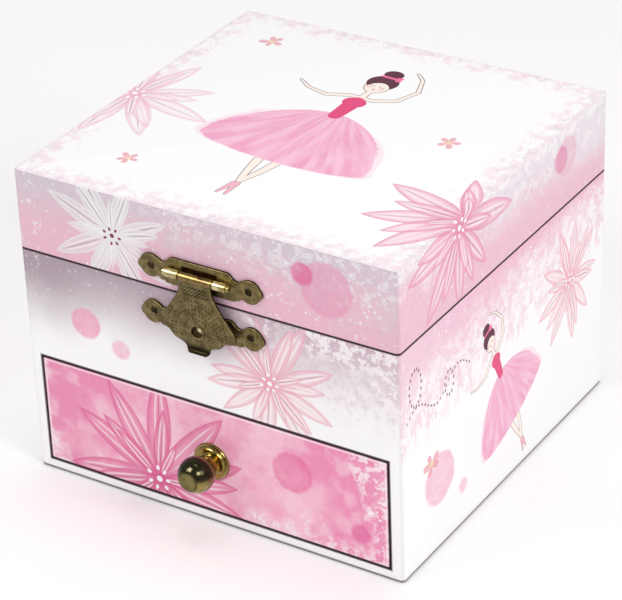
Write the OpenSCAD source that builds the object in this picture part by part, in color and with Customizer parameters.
// Musical jewellery box: a paper-covered board case with a drawer and a hinged lid,
// a pinned-cylinder movement behind the drawer, and a dancer on a bending coil spring.
// Frame: X to the right along the front, Y to the back, Z up. Origin at the centre of the underside.

/* [Box] */
// Width of the box, side to side
box_w = 108; // [107:0.5:112]
// Depth of the box, front to back
box_d = 105; // [105:0.5:110]
// Height of the closed box
box_h = 86; // [86:0.5:90]
// Height of the lid
lid_h = 22; // [22:0.5:24]
// Thickness of the board panels
board_t = 2.7; // [2.5:0.1:2.8]
// Thickness of the printed paper
paper_t = 0.3; // [0.2:0.05:0.35]
// Radius of the upright outer corners
corner_r = 1.2; // [0.8:0.1:1.5]
// Gap between the case and the lid
seam_gap = 0.3; // [0.2:0.05:0.5]

/* [Drawer] */
// Height of the drawer opening
drawer_h = 31; // [29:0.5:31]
// Gap between the drawer front and its opening
drawer_gap = 0.4; // [0.3:0.05:0.6]
// Length of the drawer from its front board to its back
drawer_len = 73; // [68:1:73]
// Diameter of the knob's ball
knob_d = 9.4; // [8:0.2:10]
// How far the knob stands out from the front
knob_out = 11; // [10:0.5:12]

/* [Clasp] */
// Thickness of the clasp's sheet brass
clasp_t = 0.8; // [0.6:0.1:0.8]
// Distance from the middle of the clasp to each nail
clasp_nail_x = 13.8; // [13.5:0.1:14.5]
// Radius of the catch stud's round head
stud_r = 1.3; // [1.1:0.1:1.3]

/* [Dancer] */
// Radius of the tutu
tutu_r = 11.4; // [9:0.2:11.6]

/* [Hidden] */
wall = board_t + paper_t;
half_w = box_w / 2;
half_d = box_d / 2;
in_x = half_w - wall;
in_y = half_d - wall;
seam_z = box_h - lid_h;
case_top = seam_z - seam_gap / 2;
lid_low = seam_z + seam_gap / 2;
lid_roof = box_h - wall;
lining_t = 0.6;
snug = 0.02;                      // radial room where a pin is fixed in its hole
run = 0.05;                       // radial room where a shaft turns in its hole
curve_fn = 64;
fine_fn = 32;

// Compartments
drawer_sill = 3;                  // top of the base panel
drawer_top = drawer_sill + drawer_h;
floor_z0 = drawer_top + 0.8;      // tray floor
floor_z1 = floor_z0 + 2.5;
bay_y0 = in_y - 25.5;             // front face of the movement partition
bay_y1 = bay_y0 + 2.5;
deck_z0 = seam_z - 12;            // deck over the movement
deck_z1 = deck_z0 + 2;
rim_z = case_top - 1.4;           // top edge of the linings

// Drawer
opening_x = half_w - 3.4;
drawer_x = opening_x - drawer_gap;
drawer_z0 = drawer_sill + drawer_gap;
drawer_z1 = drawer_top - drawer_gap;
drawer_y1 = -in_y + drawer_len;
side_t = 2;
side_z1 = drawer_z1 - 2.6;
knob_z = 18.2;
knob_screw_r = 1.4;

// Clasp, in the plane of the front
clasp_y = -half_d - clasp_t;      // front face of the fixed plates
clasp_pin_z = seam_z + 6.3;
clasp_pin_y = clasp_y - 1.3;
clasp_knuckle_r = 1.2;
clasp_pin_r = 0.5;
flap_y1 = clasp_pin_y - 0.1;      // back face of the flap
flap_y0 = flap_y1 - clasp_t;
stud_tip = flap_y1 + 0.1;         // just short of the flap, which springs over it
catch_z = seam_z - 6.4;           // height of the catch plate's nails
lid_nail_z = clasp_pin_z - 0.3;
stud_z = seam_z - 7.5;
flap_hole_r = stud_r + 0.3;
nail_r = 0.5;
nail_head_r = 0.9;
nail_len = 2.6;
nail_head_t = 0.35;
knuckle_in = 5;                   // the lid plate's two knuckles, from the middle
knuckle_out = 8.6;

// Back hinges
hinge_y = half_d + 1.4;
hinge_r = 1.35;
hinge_pin_r = 0.6;
hinge_w = 18;
hinge_x = 28;
hinge_leaf_h = 9;
hinge_nail_x = 6;
hinge_nail_z = 5.5;               // nails above and below the hinge's axis
knuckle_w = 6;
leaf_t = 0.6;

// Lid
mirror_x = 36;
mirror_y = 34;
mirror_t = 1.5;
frame_t = 2.5;

// Movement
plate_y1 = in_y;                  // bedplate, flat on the back panel
plate_y0 = plate_y1 - 1.5;
bed_x0 = -46;
bed_x1 = 14;
bed_z0 = 10.5;
bed_z1 = 51.5;
barrel_z = 40.5;
crown_teeth = 40;
leaf_teeth = 10;
crown_mod = 0.5;
crown_r = crown_teeth * crown_mod / 2;
leaf_r = leaf_teeth * crown_mod / 2;
arbor_y = plate_y0 - 12.6;        // the plane of the cylinder, the comb and the spindle
crown_y = arbor_y + leaf_r;       // pitch plane of the crown teeth
barrel_y0 = crown_y + 0.6;
barrel_y1 = barrel_y0 + 8;
winding_r = 1.5;
drum_x0 = -34;
drum_x1 = -14;
drum_r = 6;
pin_reach = 0.5;
comb_teeth = 18;
comb_pitch = (drum_x1 - drum_x0 - 1) / comb_teeth;
comb_t = 0.6;
comb_y = arbor_y - comb_t / 2;    // front face of the comb
comb_z = 14;
comb_root_h = 6;
comb_screw_x = [-31, -24, -17];
comb_screw_z = comb_z + 3;
comb_screw_r = 0.8;
cyl_arbor_r = 1;
train_mod = 0.4;
end_teeth = 24;
pinion_teeth = 8;
wheel_teeth = 24;
train_dist = (end_teeth + pinion_teeth) * train_mod / 2 + 0.1;
wheel_z = barrel_z - train_dist;
wheel_x = -40;
wheel_r = wheel_teeth * train_mod / 2;
worm_mean_r = 0.85;
worm_off = 0.34;
worm_y = arbor_y - wheel_r - worm_mean_r - 0.1;
worm_pitch = PI * train_mod;
worm_half = 4;
worm_shaft_r = 0.6;
worm_low = 22.6;
worm_top = 46;
fan_z0 = wheel_z + wheel_r + 1.2;
bracket_x = -44.5;
bracket_z0 = 23;
bracket_z1 = 45;
wheel_arbor_r = 0.7;
bearing_l = -38.4;
bearing_r = -12.7;
bearing_t = 1;
bearing_h = 4;                    // how far the bearings reach above and below the arbor
bed_screw_r = 1;
spindle_r = 1;
spindle_top = deck_z1 + 3.5;
bush_r = 2.2;
key_wing_z = 5.4;

// Dancer, lying forward with the lid shut
bend_r = 5;
dancer_y = arbor_y - bend_r;      // where the spring's bend ends
dancer_z = spindle_top + bend_r;
coil_r = 1.7;
coil_wire_r = 0.3;
coil_straight = 1.5;
coil_turns = 9;
coil_steps = 14;
bend_len = PI * bend_r / 2;
coil_len = 2 * coil_straight + bend_len;

// Stop wire
stop_r = 0.6;

// ---------- shared shapes ----------

module block(low, high) { translate(low) cube(high - low); }

module rounded_rect(w, d, r) {
    square([w - 2 * r, d], center = true);
    square([w, d - 2 * r], center = true);
    for (x = [-1, 1], y = [-1, 1])
        translate([x * (w / 2 - r), y * (d / 2 - r)]) circle(r, $fn = curve_fn);
}

// The outline of the box, less an inset, between two heights
module prism(inset, z0, z1) {
    translate([0, 0, z0]) linear_extrude(z1 - z0)
        rounded_rect(box_w - 2 * inset, box_d - 2 * inset, corner_r - inset);
}

// An open-topped tray with thin walls
module tray(low, high, t) {
    difference() {
        block(low, high);
        block(low + [t, t, t], high + [-t, -t, 1]);
    }
}

module rod_x(x0, x1, y, z, r) {
    translate([x0, y, z]) rotate([0, 90, 0]) cylinder(h = x1 - x0, r = r, $fn = fine_fn);
}

module rod_y(y0, y1, x, z, r) {
    translate([x, y1, z]) rotate([90, 0, 0]) cylinder(h = y1 - y0, r = r, $fn = fine_fn);
}

module rod_z(z0, z1, x, y, r) {
    translate([x, y, z0]) cylinder(h = z1 - z0, r = r, $fn = fine_fn);
}

// A spur gear's outline with straight-flanked teeth, the first tooth on +X
module gear_outline(teeth, mod, slack, addendum, dedendum) {
    pitch_r = teeth * mod / 2;
    half = PI * mod / 4 - slack;
    tip = half - addendum * tan(22);
    root = half + dedendum * tan(8);
    circle(pitch_r - dedendum, $fn = curve_fn);
    for (i = [0 : teeth - 1]) rotate(i * 360 / teeth)
        polygon([
            [pitch_r - dedendum - 0.15, -root], [pitch_r, -half], [pitch_r + addendum, -tip],
            [pitch_r + addendum, tip], [pitch_r, half], [pitch_r - dedendum - 0.15, root]
        ]);
}

// Nail positions on the front and back
module front_nails(z) { for (s = [-1, 1]) translate([s * clasp_nail_x, -half_d, z]) children(); }
module back_nails(z) {
    for (s = [-1, 1], n = [-1, 1]) translate([s * hinge_x + n * hinge_nail_x, half_d, z]) children();
}

// A round-headed nail through a plate of thickness t; it points along +Y, its plate face at y = 0
module nail(t) {
    rod_y(-t, nail_len, 0, 0, nail_r - snug);
    rod_y(-t - nail_head_t, -t, 0, 0, nail_head_r);
}
module nail_hole() { rod_y(-3, nail_len + 0.1, 0, 0, nail_r); }
module turned() { rotate([0, 0, 180]) children(); }

// ---------- case ----------

module base_panel() {
    color("#c9b79c") prism(paper_t, 0, drawer_sill);
}

module drawer_opening(y0, y1, z0) {
    block([-opening_x, y0, z0], [opening_x, y1, drawer_top]);
}

module front_panel() {
    color("#c9b79c") difference() {
        intersection() {
            prism(paper_t, drawer_sill, case_top);
            block([-half_w, -half_d, 0], [half_w, -in_y, case_top]);
        }
        drawer_opening(-half_d - 1, -in_y + 1, drawer_sill - 1);
        front_nails(catch_z) nail_hole();
    }
}

module back_panel() {
    color("#c9b79c") difference() {
        intersection() {
            prism(paper_t, drawer_sill, case_top);
            block([-half_w, in_y, 0], [half_w, half_d, case_top]);
        }
        back_nails(seam_z - hinge_nail_z) turned() nail_hole();
        rod_y(in_y - 1, half_d + 1, 0, barrel_z, winding_r + 0.7);
        bedplate_screw_places() rod_y(plate_y0, plate_y1 + 2.2, 0, 0, bed_screw_r);
    }
}

module side_panel(s) {
    color("#c9b79c") block(
        [min(s * in_x, s * (half_w - paper_t)), -in_y, drawer_sill],
        [max(s * in_x, s * (half_w - paper_t)), in_y, case_top]);
}
module left_panel() { side_panel(-1); }
module right_panel() { side_panel(1); }

module tray_floor() {
    color("#c9b79c") block([-in_x, -in_y, floor_z0], [in_x, bay_y0, floor_z1]);
}

module movement_partition() {
    color("#c9b79c") block([-in_x, bay_y0, drawer_sill], [in_x, bay_y1, deck_z0]);
}

module music_deck() {
    color("#c9b79c") difference() {
        block([-in_x, bay_y0, deck_z0], [in_x, in_y, deck_z1]);
        rod_z(deck_z0 - 1, deck_z1 + 1, 0, arbor_y, bush_r);
        rod_z(deck_z0 - 1, deck_z1 + 1, wheel_x, worm_y, stop_r + run);
    }
}

module case_wrap() {
    color("#f3dbe4") difference() {
        prism(0, 0.4, case_top);
        prism(paper_t, 0, box_h);
        drawer_opening(-half_d - 1, -in_y, drawer_sill);
        front_nails(catch_z) nail_hole();
        back_nails(seam_z - hinge_nail_z) turned() nail_hole();
        rod_y(in_y, half_d + 1, 0, barrel_z, winding_r + 0.7);
    }
}

module tray_lining() {
    color("#e59ab4") difference() {
        tray([-in_x, -in_y, floor_z1], [in_x, bay_y0, rim_z], lining_t);
        block([-in_x - 1, bay_y0 - 1, deck_z1], [in_x + 1, bay_y0 + 1, box_h]);
    }
}

module deck_lining() {
    color("#e59ab4") difference() {
        tray([-in_x, bay_y0 - lining_t, deck_z1], [in_x, in_y, rim_z], lining_t);
        block([-in_x + lining_t, bay_y0 - 2, deck_z1 + lining_t],
              [in_x - lining_t, bay_y0 + 1, box_h]);
        block([-in_x - 1, bay_y0 - 2, deck_z1 - 1], [in_x + 1, bay_y0, box_h]);
        rod_z(deck_z1 - 1, deck_z1 + 2, 0, arbor_y, 3);
        rod_z(deck_z1 - 1, deck_z1 + 2, wheel_x, worm_y, stop_r + 0.3);
    }
}

// ---------- back hinges ----------

// One leaf: sides says which knuckles it holds, dir is -1 for the case and 1 for the lid
module hinge_leaf(dir, sides) {
    far_z = seam_z + dir * hinge_leaf_h;
    near_z = seam_z + dir * (hinge_r + 0.25);
    difference() {
        union() {
            block([-hinge_w / 2, half_d, min(far_z, near_z)],
                  [hinge_w / 2, half_d + leaf_t, max(far_z, near_z)]);
            for (x = sides) {
                block([x[0], half_d, min(near_z, seam_z)],
                      [x[1], half_d + leaf_t, max(near_z, seam_z)]);
                rod_x(x[0], x[1], hinge_y, seam_z, hinge_r);
            }
        }
        rod_x(-hinge_w, hinge_w, hinge_y, seam_z, hinge_pin_r + run);
        for (n = [-1, 1])
            translate([n * hinge_nail_x, half_d, seam_z + dir * hinge_nail_z]) turned() nail_hole();
    }
}

module hinge_case_leaves() {
    half = hinge_w / 2;
    split = half - knuckle_w;
    color("#8a7a4c") for (s = [-1, 1]) translate([s * hinge_x, 0, 0])
        hinge_leaf(-1, [[-half, -split], [split, half]]);
}

module hinge_lid_leaves() {
    split = hinge_w / 2 - knuckle_w - 0.1;
    color("#8a7a4c") for (s = [-1, 1]) translate([s * hinge_x, 0, 0])
        hinge_leaf(1, [[-split, split]]);
}

module hinge_pins() {
    reach = hinge_w / 2 + 0.3;
    color("#a3956a") for (s = [-1, 1])
        rod_x(s * hinge_x - reach, s * hinge_x + reach, hinge_y, seam_z, hinge_pin_r);
}

module case_fitting_nails() {
    color("#3c3524") {
        front_nails(catch_z) nail(clasp_t);
        back_nails(seam_z - hinge_nail_z) turned() nail(leaf_t);
    }
}

module lid_fitting_nails() {
    color("#3c3524") {
        front_nails(lid_nail_z) nail(clasp_t);
        back_nails(seam_z + hinge_nail_z) turned() nail(leaf_t);
    }
}

// ---------- clasp ----------

// A sheet cut to an outline drawn as X and Z, lying against the front at y1
module front_sheet(y1, t) {
    translate([0, y1, 0]) rotate([90, 0, 0]) linear_extrude(t) children();
}

// Both fixed plates: a middle strip with a round lobe and a notched shoulder at each end
module plate_outline(top, bottom, half_top, half_bottom) {
    polygon([
        [-half_top, top], [-half_top - 1.6, top - 1.3], [-half_bottom, bottom],
        [half_bottom, bottom], [half_top + 1.6, top - 1.3], [half_top, top]
    ]);
    mid = (top + bottom) / 2;
    for (s = [-1, 1]) {
        translate([s * (clasp_nail_x - 2.4), mid]) circle(3.1, $fn = curve_fn);
        translate([s * (clasp_nail_x + 0.4), mid]) circle(2.9, $fn = curve_fn);
        translate([s * (clasp_nail_x + 2.6), mid + 0.2]) circle(1.1, $fn = curve_fn);
    }
}

module clasp_lid_plate() {
    color("#7a6d4a") difference() {
        union() {
            front_sheet(-half_d, clasp_t)
                plate_outline(clasp_pin_z + 3.3, clasp_pin_z - 4, 8.3, 9.6);
            for (x = [[-knuckle_out, -knuckle_in], [knuckle_in, knuckle_out]]) {
                rod_x(x[0], x[1], clasp_pin_y, clasp_pin_z, clasp_knuckle_r);
                block([x[0], clasp_pin_y, clasp_pin_z - 1], [x[1], clasp_y + 0.2, clasp_pin_z]);
            }
        }
        rod_x(-10, 10, clasp_pin_y, clasp_pin_z, clasp_pin_r + run);
        front_nails(lid_nail_z) nail_hole();
    }
}

module clasp_hinge_pin() {
    color("#c2b280") {
        rod_x(-knuckle_out - 0.3, knuckle_out + 0.3, clasp_pin_y, clasp_pin_z, clasp_pin_r);
        for (x = [[-knuckle_out - 0.9, -knuckle_out - 0.1], [knuckle_out + 0.1, knuckle_out + 0.9]])
            rod_x(x[0], x[1], clasp_pin_y, clasp_pin_z, 0.8);
    }
}

module clasp_catch_plate() {
    color("#7a6d4a") difference() {
        front_sheet(-half_d, clasp_t)
            plate_outline(catch_z + 3.1, catch_z - 3.9, 8.6, 8);
        rod_y(-half_d - 3, -half_d + 1, 0, stud_z, 1);
        front_nails(catch_z) nail_hole();
    }
}

module clasp_catch_stud() {
    color("#b9a76f") {
        rod_y(stud_tip + stud_r, -half_d, 0, stud_z, 1 - snug);
        intersection() {
            translate([0, stud_tip + stud_r, stud_z]) sphere(stud_r, $fn = curve_fn);
            block([-2, stud_tip - 1, stud_z - 2], [2, clasp_y, stud_z + 2]);
        }
    }
}

module flap_outline() {
    top = clasp_pin_z;
    polygon([
        [4.5, top], [4.6, top - 2], [5.6, top - 5], [7.6, top - 8], [9.4, top - 10.4],
        [10.9, top - 12.4], [10.9, top - 13.6], [9.4, top - 14.8], [7.8, top - 15.2],
        [6.4, top - 17], [4.4, top - 17.6], [3.3, top - 18.4], [3.1, top - 20.2], [2.3, top - 20.8],
        [-2.3, top - 20.8], [-3.1, top - 20.2], [-3.3, top - 18.4], [-4.4, top - 17.6],
        [-6.4, top - 17], [-7.8, top - 15.2], [-9.4, top - 14.8], [-10.9, top - 13.6],
        [-10.9, top - 12.4], [-9.4, top - 10.4], [-7.6, top - 8], [-5.6, top - 5],
        [-4.6, top - 2], [-4.5, top]
    ]);
}

module clasp_flap() {
    color("#7a6d4a") difference() {
        union() {
            front_sheet(flap_y1, clasp_t) flap_outline();
            rod_x(-knuckle_in + 0.2, knuckle_in - 0.2, clasp_pin_y, clasp_pin_z, clasp_knuckle_r);
            rod_x(-3, 3, flap_y0 - 0.1, clasp_pin_z - 20, 0.8);
        }
        rod_x(-10, 10, clasp_pin_y, clasp_pin_z, clasp_pin_r + run);
        rod_y(-half_d - 5, -half_d, 0, stud_z, flap_hole_r);
    }
}

// ---------- lid ----------

module lid_top_panel() {
    color("#c9b79c") prism(paper_t, lid_roof, box_h - paper_t);
}

module lid_end_rail(s) {
    color("#c9b79c") difference() {
        intersection() {
            prism(paper_t, lid_low, lid_roof);
            block([-half_w, min(s * in_y, s * half_d), lid_low],
                  [half_w, max(s * in_y, s * half_d), lid_roof]);
        }
        front_nails(lid_nail_z) nail_hole();
        back_nails(seam_z + hinge_nail_z) turned() nail_hole();
    }
}
module lid_front_rail() { lid_end_rail(-1); }
module lid_back_rail() { lid_end_rail(1); }

module lid_side_rail(s) {
    color("#c9b79c") block(
        [min(s * in_x, s * (half_w - paper_t)), -in_y, lid_low],
        [max(s * in_x, s * (half_w - paper_t)), in_y, lid_roof]);
}
module lid_left_rail() { lid_side_rail(-1); }
module lid_right_rail() { lid_side_rail(1); }

module lid_wrap() {
    color("#f6e4ea") difference() {
        prism(0, lid_low, box_h);
        prism(paper_t, lid_low - 1, box_h - paper_t);
        front_nails(lid_nail_z) nail_hole();
        back_nails(seam_z + hinge_nail_z) turned() nail_hole();
    }
}

module lid_lining() {
    color("#e59ab4") difference() {
        block([-in_x, -in_y, lid_low + 0.5], [in_x, in_y, lid_roof]);
        block([-in_x + lining_t, -in_y + lining_t, lid_low],
              [in_x - lining_t, in_y - lining_t, lid_roof - frame_t]);
        block([-mirror_x, -mirror_y, lid_low], [mirror_x, mirror_y, lid_roof + 1]);
    }
}

module mirror_glass() {
    color("#cfd6da") block([-mirror_x + 0.1, -mirror_y + 0.1, lid_roof - mirror_t],
                           [mirror_x - 0.1, mirror_y - 0.1, lid_roof]);
}

// ---------- drawer ----------

module drawer_face(y0, y1) {
    difference() {
        block([-drawer_x, y0, drawer_z0], [drawer_x, y1, drawer_z1]);
        rod_y(-half_d - 1, -in_y + 1, 0, knob_z, knob_screw_r + run);
    }
}
module drawer_front() { color("#c9b79c") drawer_face(-half_d + paper_t, -in_y); }
module drawer_front_wrap() { color("#eba3bd") drawer_face(-half_d, -half_d + paper_t); }

module drawer_sides() {
    color("#d9c9ae") for (s = [-1, 1]) block(
        [min(s * (drawer_x - side_t), s * drawer_x), -in_y, drawer_z0 + 0.1],
        [max(s * (drawer_x - side_t), s * drawer_x), drawer_y1, side_z1]);
}

module drawer_back() {
    color("#d9c9ae") block(
        [-drawer_x + side_t, drawer_y1 - side_t, drawer_z0 + 0.1],
        [drawer_x - side_t, drawer_y1, side_z1]);
}

module drawer_bottom() {
    color("#d9c9ae") block(
        [-drawer_x + side_t, -in_y, drawer_z0 + 0.1],
        [drawer_x - side_t, drawer_y1 - side_t, drawer_z0 + 1.6]);
}

module drawer_lining() {
    color("#e59ab4") difference() {
        tray([-drawer_x + side_t, -in_y, drawer_z0 + 1.6],
             [drawer_x - side_t, drawer_y1 - side_t, side_z1 - 1], lining_t);
        rod_y(-in_y - 1, -in_y + 2, 0, knob_z, 2.8);
    }
}

module knob_backplate() {
    color("#8a7a4c") difference() {
        union() {
            rod_y(-half_d - 0.7, -half_d, 0, knob_z, 5.1);
            rod_y(-half_d - 1.5, -half_d - 0.7, 0, knob_z, 4.4);
        }
        rod_y(-half_d - 3, -half_d + 1, 0, knob_z, knob_screw_r + run);
    }
}

module drawer_knob() {
    ball_y = knob_out - knob_d / 2 + 0.7;
    color("#8a7a4c") translate([0, -half_d, knob_z]) rotate([90, 0, 0]) difference() {
        union() {
            translate([0, 0, 1.5]) cylinder(h = ball_y - 1.5, r = 2.6, $fn = curve_fn);
            intersection() {
                translate([0, 0, ball_y]) sphere(knob_d / 2, $fn = curve_fn);
                cylinder(h = knob_out, r = knob_d, $fn = curve_fn);
            }
        }
        cylinder(h = 6, r = knob_screw_r, $fn = fine_fn);
    }
}

module knob_screw() {
    color("#9a9a9a") {
        rod_y(-half_d - 5.8, -in_y, 0, knob_z, knob_screw_r - snug);
        difference() {
            rod_y(-in_y, -in_y + 1.2, 0, knob_z, 2.6);
            block([-0.4, -in_y + 0.7, knob_z - 3], [0.4, -in_y + 2, knob_z + 3]);
        }
    }
}

// ---------- movement: fixed pieces ----------

module bedplate_screw_places() {
    for (p = [[-43, 14], [-2, 14], [10, 26]]) translate([p[0], 0, p[1]]) children();
}

module movement_bedplate() {
    color("#b8a15c") difference() {
        block([bed_x0, plate_y0, bed_z0], [bed_x1, plate_y1, bed_z1]);
        bedplate_screw_places() rod_y(plate_y0 - 1, plate_y1 + 1, 0, 0, bed_screw_r);
        rod_y(plate_y0 - 1, plate_y1 + 1, 0, barrel_z, winding_r + run);
    }
}

module movement_screws() {
    color("#a8a8a8") {
        bedplate_screw_places() {
            rod_y(plate_y0, plate_y1 + 2.1, 0, 0, bed_screw_r - snug);
            rod_y(plate_y0 - 1, plate_y0, 0, 0, 2);
        }
        for (x = comb_screw_x) {
            rod_y(comb_y, comb_y + 5, x, comb_screw_z, comb_screw_r - snug);
            rod_y(comb_y - 0.8, comb_y, x, comb_screw_z, 2 * comb_screw_r);
        }
    }
}

module comb_base() {
    color("#b8a15c") difference() {
        block([drum_x0, comb_y + comb_t, comb_z], [drum_x1, plate_y0, comb_z + comb_root_h]);
        for (x = comb_screw_x) rod_y(comb_y, comb_y + 5.1, x, comb_screw_z, comb_screw_r);
    }
}

function note_x(i) = drum_x0 + 0.5 + comb_pitch * (i + 0.5);

// The comb: tuned teeth whose free length grows from treble to bass
module steel_comb() {
    tip = barrel_z - drum_r - pin_reach - 0.15;
    color("#b9bec4") difference() {
        union() {
            block([drum_x0, comb_y, comb_z], [drum_x1, comb_y + comb_t, comb_z + comb_root_h]);
            for (i = [0 : comb_teeth - 1]) {
                x = note_x(i);
                root = comb_z + comb_root_h + 0.25 * (comb_teeth - i - 1);
                block([x - comb_pitch / 2, comb_y, comb_z + comb_root_h - 0.1],
                      [x + comb_pitch / 2, comb_y + comb_t, root + 0.1]);
                block([x - 0.36, comb_y, root], [x + 0.36, comb_y + comb_t, tip]);
            }
        }
        for (x = comb_screw_x) rod_y(comb_y - 1, comb_y + 1, x, comb_screw_z, comb_screw_r);
    }
}

module cylinder_bearings() {
    front = arbor_y - 3.4;
    low_l = wheel_z - 3;
    low_r = barrel_z - bearing_h;
    top = barrel_z + bearing_h;
    color("#b8a15c") difference() {
        union() {
            block([bearing_l, front, low_l], [bearing_l + bearing_t, plate_y0, top]);
            block([bearing_r, front, low_r], [bearing_r + bearing_t, plate_y0, top]);
            block([bearing_l, plate_y0 - 1, low_l], [bearing_l + 4, plate_y0, top]);
            block([bearing_r - 3, plate_y0 - 1, low_r], [bearing_r + bearing_t, plate_y0, top]);
        }
        rod_x(bearing_l - 1, bearing_r + 2, arbor_y, barrel_z, cyl_arbor_r + run);
        rod_x(bearing_l - 1, bearing_l + 2, arbor_y, wheel_z, wheel_arbor_r + run);
    }
}

module governor_bracket() {
    color("#b8a15c") difference() {
        union() {
            block([bracket_x, worm_y - 1.6, bracket_z0], [bracket_x + 1, plate_y0, bracket_z1]);
            for (z = [bracket_z0, bracket_z1 - 1])
                block([bracket_x, worm_y - 1.6, z], [wheel_x + 1.8, worm_y + 1.6, z + 1]);
            block([bracket_x, plate_y0 - 1, bracket_z0], [bracket_x + 4, plate_y0, bracket_z1]);
        }
        rod_z(bracket_z0 - 1, bracket_z1 + 1, wheel_x, worm_y, worm_shaft_r + run);
        rod_x(bracket_x - 1, bracket_x + 2, arbor_y, wheel_z, wheel_arbor_r + run);
    }
}

module spindle_bush() {
    color("#b8a15c") difference() {
        union() {
            rod_z(deck_z0, deck_z1, 0, arbor_y, bush_r - snug);
            rod_z(deck_z1, deck_z1 + 0.9, 0, arbor_y, bush_r + 0.6);
        }
        rod_z(deck_z0 - 1, deck_z1 + 2, 0, arbor_y, spindle_r + run);
    }
}

// ---------- movement: moving pieces ----------

module winding_arbor() {
    color("#b9bec4") {
        rod_y(barrel_y0 - 0.2, half_d + 7.5, 0, barrel_z, winding_r);
        rod_y(barrel_y0 - 0.8, barrel_y0 - 0.1, 0, barrel_z, 2.4);
    }
}

module winding_key() {
    hub_y = half_d + 1;
    wing_y = hub_y + 11;
    color("#b8a15c") difference() {
        union() {
            rod_y(hub_y, hub_y + 7, 0, barrel_z, 2.6);
            rod_y(hub_y + 7, hub_y + 8, 0, barrel_z, 2);
            for (s = [-1, 1]) rod_x(-0.8, 0.8, wing_y, barrel_z + s * key_wing_z, 5);
            block([-0.8, hub_y + 6.6, barrel_z - 3], [0.8, hub_y + 12.6, barrel_z + 3]);
        }
        for (s = [-1, 1]) rod_x(-2, 2, wing_y, barrel_z + s * key_wing_z, 2.6);
        rod_y(hub_y - 1, half_d + 7.6, 0, barrel_z, winding_r);
    }
}

// Barrel: a cup open at the back, with contrate teeth round its front face
module spring_barrel() {
    outer = crown_r + 0.8;
    color("#c8b06a") {
        difference() {
            rod_y(barrel_y0, barrel_y1, 0, barrel_z, outer);
            rod_y(barrel_y0 + 1, barrel_y1 + 1, 0, barrel_z, outer - 1.2);
            rod_y(barrel_y0 - 1, barrel_y0 + 2, 0, barrel_z, winding_r + run);
        }
        for (i = [0 : crown_teeth - 1])
            translate([0, 0, barrel_z]) rotate([0, i * 360 / crown_teeth, 0]) crown_tooth();
    }
}

// One contrate tooth on +X: its tip faces -Y
module crown_tooth() {
    half = PI * crown_mod / 4 - 0.06;
    translate([crown_r - 0.8, 0, 0]) rotate([90, 0, 90]) linear_extrude(1.5)
        polygon([
            [barrel_y0 + 0.2, -half - 0.1], [crown_y, -half], [crown_y - 0.36, -half + 0.18],
            [crown_y - 0.36, half - 0.18], [crown_y, half], [barrel_y0 + 0.2, half + 0.1]
        ]);
}

module barrel_cover() {
    color("#c8b06a") difference() {
        rod_y(barrel_y1, barrel_y1 + 0.8, 0, barrel_z, crown_r + 0.8);
        rod_y(barrel_y1 - 1, barrel_y1 + 2, 0, barrel_z, winding_r + run);
    }
}

function spiral(a, r0, growth) = let (r = r0 + growth * a / 360) [r * cos(a), r * sin(a)];

module mainspring() {
    turns = 8;
    growth = 0.85;
    strip = 0.3;
    span = [for (a = [0 : 15 : turns * 360]) a];
    inner = [for (a = span) spiral(a, 2, growth)];
    outer = [for (i = [len(span) - 1 : -1 : 0]) spiral(span[i], 2 + strip, growth)];
    color("#6f7880") translate([0, barrel_y1 - 0.4, barrel_z]) rotate([90, 0, 0])
        linear_extrude(6.2) polygon(concat(inner, outer));
}

module pinned_cylinder() {
    color("#c8b06a") {
        difference() {
            rod_x(drum_x0, drum_x1, arbor_y, barrel_z, drum_r);
            rod_x(drum_x0 - 1, drum_x1 + 1, arbor_y, barrel_z, cyl_arbor_r + snug);
        }
        for (i = [0 : comb_teeth - 1], k = [0 : 2])
            translate([note_x(i), arbor_y, barrel_z])
                rotate([(i * 97 + k * 131) % 360, 0, 0])
                    translate([0, 0, drum_r - 0.3]) cylinder(h = pin_reach + 0.3, r = 0.2, $fn = 6);
    }
}

module cylinder_arbor() {
    color("#b9bec4") {
        rod_x(bearing_l - 0.5, -8.6, arbor_y, barrel_z, cyl_arbor_r);
        translate([-crown_r - 0.7, arbor_y, barrel_z]) rotate([0, 90, 0])
            linear_extrude(1.4) gear_outline(leaf_teeth, crown_mod, 0.1, 0.36, 0.55);
        translate([bearing_l + 2.2, arbor_y, barrel_z]) rotate([0, 90, 0])
            linear_extrude(1) gear_outline(end_teeth, train_mod, 0.04, 0.34, 0.45);
    }
}

module governor_wheel() {
    color("#c8b06a") {
        rod_x(bracket_x - 0.3, bearing_l + 3.6, arbor_y, wheel_z, wheel_arbor_r);
        translate([bearing_l + 2, arbor_y, wheel_z]) rotate([0, 90, 0])
            linear_extrude(1.4) rotate(180 / pinion_teeth)
                gear_outline(pinion_teeth, train_mod, 0.08, 0.3, 0.5);
        translate([wheel_x - 0.4, arbor_y, wheel_z]) rotate([0, 90, 0])
            linear_extrude(0.8) rotate(180 / wheel_teeth)
                gear_outline(wheel_teeth, train_mod, 0.1, 0.26, 0.45);
    }
}

// The worm: a right-handed single-start thread whose crest faces the wheel at the wheel's height
module governor_worm() {
    color("#b9bec4") {
        rod_z(worm_low, worm_top, wheel_x, worm_y, worm_shaft_r);
        translate([wheel_x, worm_y, wheel_z - worm_half])
            linear_extrude(2 * worm_half, twist = -360 * 2 * worm_half / worm_pitch, slices = 90)
                rotate(90 - 360 * worm_half / worm_pitch)
                    translate([worm_off, 0]) circle(worm_mean_r, $fn = 20);
    }
}

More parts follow.
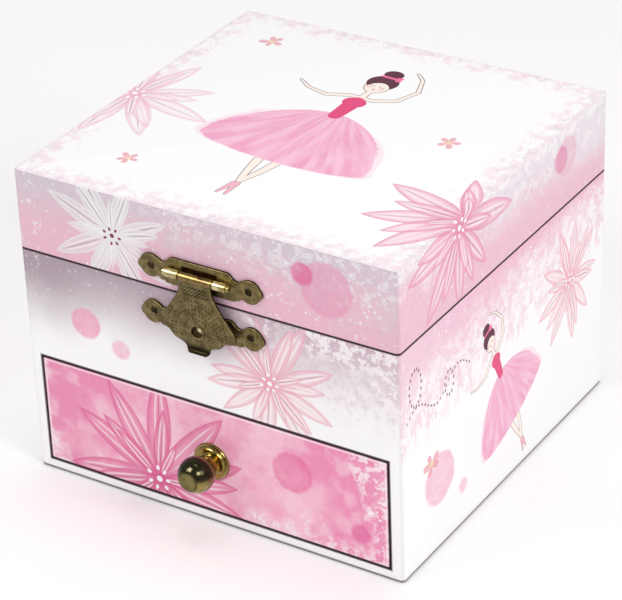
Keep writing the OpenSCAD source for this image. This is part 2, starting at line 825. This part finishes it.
module governor_fan() {
    color("#b9bec4") difference() {
        union() {
            rod_z(fan_z0, fan_z0 + 3.4, wheel_x, worm_y, 1.1);
            block([wheel_x - 2.6, worm_y - 0.2, fan_z0 + 0.3],
                  [wheel_x + 2.6, worm_y + 0.2, fan_z0 + 3.1]);
        }
        rod_z(fan_z0 - 1, fan_z0 + 5, wheel_x, worm_y, worm_shaft_r + snug);
    }
}

module dancer_spindle() {
    color("#b9bec4") {
        rod_z(barrel_z + crown_r - 1.4, spindle_top, 0, arbor_y, spindle_r);
        translate([0, arbor_y, barrel_z + crown_r - 0.7])
            linear_extrude(1.4) gear_outline(leaf_teeth, crown_mod, 0.1, 0.36, 0.55);
        rod_z(deck_z1 + 1, deck_z1 + 1.6, 0, arbor_y, 1.6);
    }
}

// The stop wire: the closed lid holds its felt-tipped foot on the end of the worm
module stop_wire() {
    color("#9aa0a6") {
        rod_z(worm_top + 1.8, lid_roof - frame_t - 0.3, wheel_x, worm_y, stop_r);
        rod_z(worm_top + 0.2, worm_top + 2, wheel_x, worm_y, 1.2);
    }
}

// ---------- dancer ----------

// Point and heading of the coil's centre line at length s, in the plane x = 0, as [y, z, heading]
function bend_angle(s) = min(90, max(0, (s - coil_straight) / bend_len * 90));
function centre_line(s) = let (a = bend_angle(s))
    s < coil_straight ? [arbor_y, spindle_top - coil_straight + s, 0]
    : s > coil_straight + bend_len ? [dancer_y - (s - coil_straight - bend_len), dancer_z, 90]
    : [dancer_y + bend_r * cos(a), spindle_top + bend_r * sin(a), a];

function coil_point(s, turn, ring) = let (
        c = centre_line(s),
        out = [0, cos(c[2]), sin(c[2])],
        ahead = [0, -sin(c[2]), cos(c[2])],
        radial = out * cos(turn) + [1, 0, 0] * sin(turn)
    ) [0, c[0], c[1]] + radial * (coil_r + coil_wire_r * cos(ring)) + ahead * coil_wire_r * sin(ring);

module dancer_spring() {
    sides = 6;
    rings = coil_turns * coil_steps;
    first = coil_wire_r + 0.15;
    span = coil_len - 2 * first;
    points = [for (i = [0 : rings], k = [0 : sides - 1])
        coil_point(first + span * i / rings, 360 * i / coil_steps, -360 * k / sides)];
    skin = [for (i = [0 : rings - 1], k = [0 : sides - 1]) let (n = (k + 1) % sides)
        [i * sides + k, i * sides + n, (i + 1) * sides + n, (i + 1) * sides + k]];
    caps = [[for (k = [sides - 1 : -1 : 0]) k], [for (k = [0 : sides - 1]) rings * sides + k]];
    color("#c4c8cc") polyhedron(points, concat(skin, caps), convexity = 10);
}

// Stands the dancer's own upright frame along the spring's end
module on_spring() { translate([0, dancer_y, dancer_z]) rotate([90, 0, 0]) children(); }

// A limb through a list of [point, radius] pairs
module limb(joints) {
    for (i = [0 : len(joints) - 2]) hull() {
        translate(joints[i][0]) sphere(joints[i][1], $fn = 14);
        translate(joints[i + 1][0]) sphere(joints[i + 1][1], $fn = 14);
    }
}

module dancer_figure() {
    color("#f0d2c4") on_spring() {
        translate([0, 0, 0.2]) cylinder(h = 2.6, r = 1, $fn = 16);
        limb([[[0, 0, 3], 1], [[0, 0, 6], 0.8], [[0, 0, 11], 1.1], [[0.6, 0, 18], 1.7]]);
        limb([[[-0.8, 0, 18], 1.7], [[-5, -0.6, 13.4], 1.2], [[-0.9, -0.6, 9], 0.7]]);
        limb([[[0, 0, 18.6], 2.1], [[0, 0, 22.4], 1.5], [[0, 0, 26.4], 2], [[0, 0, 28.2], 1]]);
        limb([[[0, 0, 28.2], 0.8], [[0, 0, 31], 0.7]]);
        translate([0, 0, 32.8]) sphere(2.5, $fn = 20);
        translate([0, 0.6, 36]) sphere(1.2, $fn = 16);
        for (s = [-1, 1])
            limb([[[s * 2, 0, 27.6], 0.8], [[s * 5, -0.6, 32], 0.65],
                  [[s * 4.6, -0.9, 36.8], 0.55], [[s * 1.3, -1.2, 40.4], 0.5]]);
    }
}

module dancer_tutu() {
    color("#f4b9cd") on_spring() rotate_extrude($fn = curve_fn)
        polygon([[2.2, 19.6], [6, 19.3], [tutu_r, 18.6], [tutu_r, 19.2], [6, 21.2], [2.2, 22]]);
}

base_panel();
front_panel();
back_panel();
left_panel();
right_panel();
tray_floor();
movement_partition();
music_deck();
case_wrap();
tray_lining();
deck_lining();
clasp_catch_plate();
clasp_catch_stud();
case_fitting_nails();
hinge_case_leaves();
hinge_pins();
movement_bedplate();
movement_screws();
comb_base();
steel_comb();
cylinder_bearings();
governor_bracket();
spindle_bush();
lid_top_panel();
lid_front_rail();
lid_back_rail();
lid_left_rail();
lid_right_rail();
lid_wrap();
lid_lining();
mirror_glass();  // mirror
clasp_lid_plate();
clasp_hinge_pin();
hinge_lid_leaves();
lid_fitting_nails();
clasp_flap();
drawer_front();
drawer_front_wrap();
drawer_sides();
drawer_back();
drawer_bottom();
drawer_lining();
knob_backplate();
drawer_knob();
knob_screw();
winding_key();
winding_arbor();
spring_barrel();
barrel_cover();
mainspring();
pinned_cylinder();
cylinder_arbor();
governor_wheel();
governor_worm();
governor_fan();
dancer_spindle();
dancer_spring();
dancer_figure();
dancer_tutu();
stop_wire();
